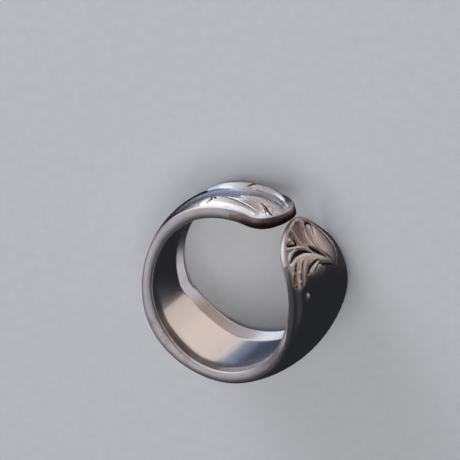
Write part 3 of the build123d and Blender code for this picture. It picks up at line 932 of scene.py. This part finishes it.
def innerMirror():
    material, tree, shader = newMaterial("innerMirror")
    lineDepth, lines, smudge = worn(tree, 55.0, 14.0, 0.15)
    colour, _ = group(tree, tarnishAndShade, Vector=objectPlace(tree), Silver=innerLook["silver"], Amount=0.5).outputs
    rough = plus(tree, innerLook["rough"], painted(tree, "bevel")[0], innerLook["bevelRough"])
    rough = plus(tree, plus(tree, rough, smudge, 0.16), lines, 0.07)
    finish(tree, shader, colour, rough, 0.05, 1.0, bump(tree, lineDepth, 0.0000014))
    return material


for material in (polishedSilver(), brushedRim(), innerMirror()):
    ringMesh.materials.append(material)
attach(ring, "root")
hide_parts("spoon_ring")
print("silver materials made")

# Camera, floor and light
# The camera stands as the photograph's did round the ring: three directions in the ring's own axes.
camera = {
    "right": (0.9139, -0.0702, -0.3998),
    "up": (-0.0768, 0.9373, -0.3401),
    "back": (0.3986, 0.3415, 0.8512),
    "distance": 300.0,
    "lens": 213.65,
    "aimRight": -1.079,
    "aimUp": 5.427,
}
right, up, back = (Vector(seatRows @ np.array(camera[name])).normalized() for name in ("right", "up", "back"))


def putUp(thing, where, outwards):
    # the thing's own Z points outwards, and its X lies level across the picture
    level = up.cross(outwards).normalized()
    thing.location = where
    thing.rotation_mode = "QUATERNION"
    thing.rotation_quaternion = Matrix((level, outwards.cross(level), outwards)).transposed().to_quaternion()
    scene.collection.objects.link(thing)


def sheet(name, wide, tall, material):
    # a flat rectangle about its own middle
    x, y = wide / 2, tall / 2
    flat = bpy.data.meshes.new(name)
    flat.from_pydata([(-x, -y, 0), (x, -y, 0), (x, y, 0), (-x, y, 0)], [], [(0, 1, 2, 3)])
    flat.materials.append(material)
    return bpy.data.objects.new(name, flat)


cameraData = bpy.data.cameras.new("view")
cameraData.lens, cameraData.sensor_width = camera["lens"], 36.0
cameraData.clip_start, cameraData.clip_end = 0.01, 20.0
cameraObject = bpy.data.objects.new("view", cameraData)
cameraPlace = holeCentre + back * camera["distance"] * mm
aim = holeCentre + right * camera["aimRight"] * mm + up * camera["aimUp"] * mm
putUp(cameraObject, cameraPlace, (cameraPlace - aim).normalized())
scene.camera = cameraObject


def paleFloor():
    material, tree, shader = newMaterial("paleFloor")
    grain = noise(tree, objectPlace(tree), 900.0, 5.0)
    colour = blend(tree, grain, (0.60, 0.61, 0.63, 1), (0.70, 0.70, 0.71, 1))
    tree.links.new(colour, shader.inputs["Base Color"])
    tree.links.new(ramp(tree, grain, 0.3, 0.7, (0.65, 0.8)), shader.inputs["Roughness"])
    return material


floor = sheet("floor", 3.0, 3.0, paleFloor())
scene.collection.objects.link(floor)

# name, direction from the hole's centre, distance and size in metres, watts, colour
lamps = [
    ("window", right * -0.5 + up * 0.75 + back * 0.35, 0.5, 0.35, 4.0, (0.86, 0.93, 1.0)),
    ("overhead", Vector((0.0, 0.0, 1.0)), 0.7, 0.7, 3.0, (1.0, 0.98, 0.96)),
]
for name, direction, distance, size, power, colour in lamps:
    light = bpy.data.lights.new(name, "AREA")
    light.shape, light.size, light.energy, light.color = "DISK", size, power, colour
    lamp = bpy.data.objects.new(name, light)
    scene.collection.objects.link(lamp)
    lamp.location = holeCentre + direction.normalized() * distance
    lamp.rotation_mode = "QUATERNION"
    lamp.rotation_quaternion = direction.to_track_quat("Z", "Y")
    lamp.visible_glossy = False  # the metal mirrors the room below instead
floor.visible_glossy = False

# a small glowing card that only mirror rays see, for the far inner bevel: it stands at a distance from a
# place in the ring's own axes, in a direction of the room below
card = {
    "from": (-9.0, 0.0, -3.5),
    "toward": (99, -6),
    "distance": 17.0,
    "wide": 5.4,
    "tall": 9.5,
    "colour": (0.60, 0.57, 0.64, 1),
    "cloud": (0.74, 0.72, 0.78, 1),
}

# What the polished silver mirrors is a made-up room: a dark table, a warm wall, a window on the left. Each
# patch lies over those before it: (degrees round from the camera to the right, degrees up), the angles from
# its middle where it starts to fade and is gone, how wide it is against its height, and its colour.
room = {
    "table": (0.019, 0.020, 0.024),
    "wall": (0.31, 0.24, 0.21),
    "horizon": (15.0, 31.0),
    "fill": (0.10, 0.12, 0.15, 1),  # the light that falls on everything
    "backdrop": (0.72, 0.73, 0.75, 1),  # what the camera sees behind the ring
    "patches": [
        ((-165, 14), 12, 34, 1.0, (0.022, 0.032, 0.062)),
        ((50, -8), 14, 32, 0.8, (0.045, 0.045, 0.055)),
        ((150, 14), 8, 12, 1.3, (0.036, 0.034, 0.036)),
        ((121, 26), 8.5, 10.5, 1.3, (0.66, 0.56, 0.52)),
        ((138, 46), 14, 17, 1.35, (0.76, 0.64, 0.59)),
        ((154, 29), 11, 14.5, 1.35, (0.030, 0.027, 0.029)),
        ((-108, 14), 12, 26, 1.0, (0.30, 0.29, 0.34)),
        ((0, 85), 10, 28, 1.0, (0.42, 0.46, 0.60)),
        ((-60, 46), 22, 38, 1.3, (1.25, 1.28, 1.32)),
        ((-67, 13), 8, 18, 1.0, (0.95, 0.86, 0.80)),
        ((-150, 56), 10, 20, 1.2, (0.90, 0.97, 1.08)),
        ((-177, 44), 7, 11, 1.1, (0.10, 0.135, 0.24)),
        ((-175, 31), 7, 13, 1.3, (0.026, 0.034, 0.062)),
        ((168, 37), 6, 9, 1.2, (0.036, 0.036, 0.042)),
        ((-176, 58), 3, 7, 1.3, (1.0, 1.0, 1.02)),
        ((173, 55), 3, 6, 1.2, (1.0, 1.0, 1.02)),
        ((-16, 36), 7, 16, 1.0, (0.50, 0.66, 0.70)),
        ((-58, -22), 14, 24, 1.0, (0.80, 0.76, 0.80)),
    ],
}


def roomDirection(turn, rise):
    # sin(turn) cos(rise) to the right, sin(rise) up, cos(turn) cos(rise) back to the camera
    turn, rise = math.radians(turn), math.radians(rise)
    level = right * math.sin(turn) + back * math.cos(turn)
    return level * math.cos(rise) + up * math.sin(rise)


def paleCard():
    material, tree, shader = newMaterial("paleCard")
    colour = blend(tree, noise(tree, objectPlace(tree), 90.0), card["colour"], card["cloud"])
    tree.links.new(colour, shader.inputs["Emission Color"])
    shader.inputs["Emission Strength"].default_value = 1.0
    shader.inputs["Base Color"].default_value = (0, 0, 0, 1)
    shader.inputs["Specular IOR Level"].default_value = 0.0
    return material


toward = roomDirection(*card["toward"])
cardObject = sheet("card", card["wide"] * mm, card["tall"] * mm, paleCard())
cardStart = Vector(seatRows @ np.array(card["from"]))
putUp(cardObject, holeCentre + (cardStart + toward * card["distance"]) * mm, -toward)
cardObject.visible_camera = cardObject.visible_diffuse = cardObject.visible_shadow = False


def mirroredRoom(tree):
    # table below the horizon and wall above it, then each patch by the angle from its middle
    looking = add(tree, "ShaderNodeTexCoord").outputs["Generated"]

    def facing(direction):
        settings = {"operation": "DOT_PRODUCT"}
        return add(tree, "ShaderNodeVectorMath", settings, i0=looking, i1=tuple(direction)).outputs["Value"]

    horizon = [math.sin(math.radians(angle)) for angle in room["horizon"]]
    colour = blend(tree, ramp(tree, facing(up), *horizon), (*room["table"], 1), (*room["wall"], 1))
    for place, inner, outer, wide, patch in room["patches"]:
        middle = roomDirection(*place)
        sideways = up.cross(middle).normalized()
        across, rising = maths(tree, "DIVIDE", facing(sideways), wide), facing(middle.cross(sideways))
        reach = maths(tree, "SQRT", plus(tree, times(tree, across, across), rising, rising))
        share = ramp(tree, reach, math.sin(math.radians(outer)), math.sin(math.radians(inner)))
        share = times(tree, share, ramp(tree, facing(middle), 0.0, 0.2))  # not on the opposite side
        colour = blend(tree, share, colour, (*patch, 1))
    return colour


world = bpy.data.worlds.new("studio")
scene.world = world
world.use_nodes = True
worldTree = world.node_tree
worldTree.nodes.clear()
path = add(worldTree, "ShaderNodeLightPath").outputs
seen = blend(worldTree, path["Is Camera Ray"], room["fill"], room["backdrop"])
seen = blend(worldTree, path["Is Glossy Ray"], seen, mirroredRoom(worldTree))
background = add(worldTree, "ShaderNodeBackground", None, Color=seen, Strength=1.0)
worldTree.links.new(background.outputs[0], add(worldTree, "ShaderNodeOutputWorld").inputs[0])
scene.view_settings.view_transform = "Standard"
print("camera, floor and lights set")
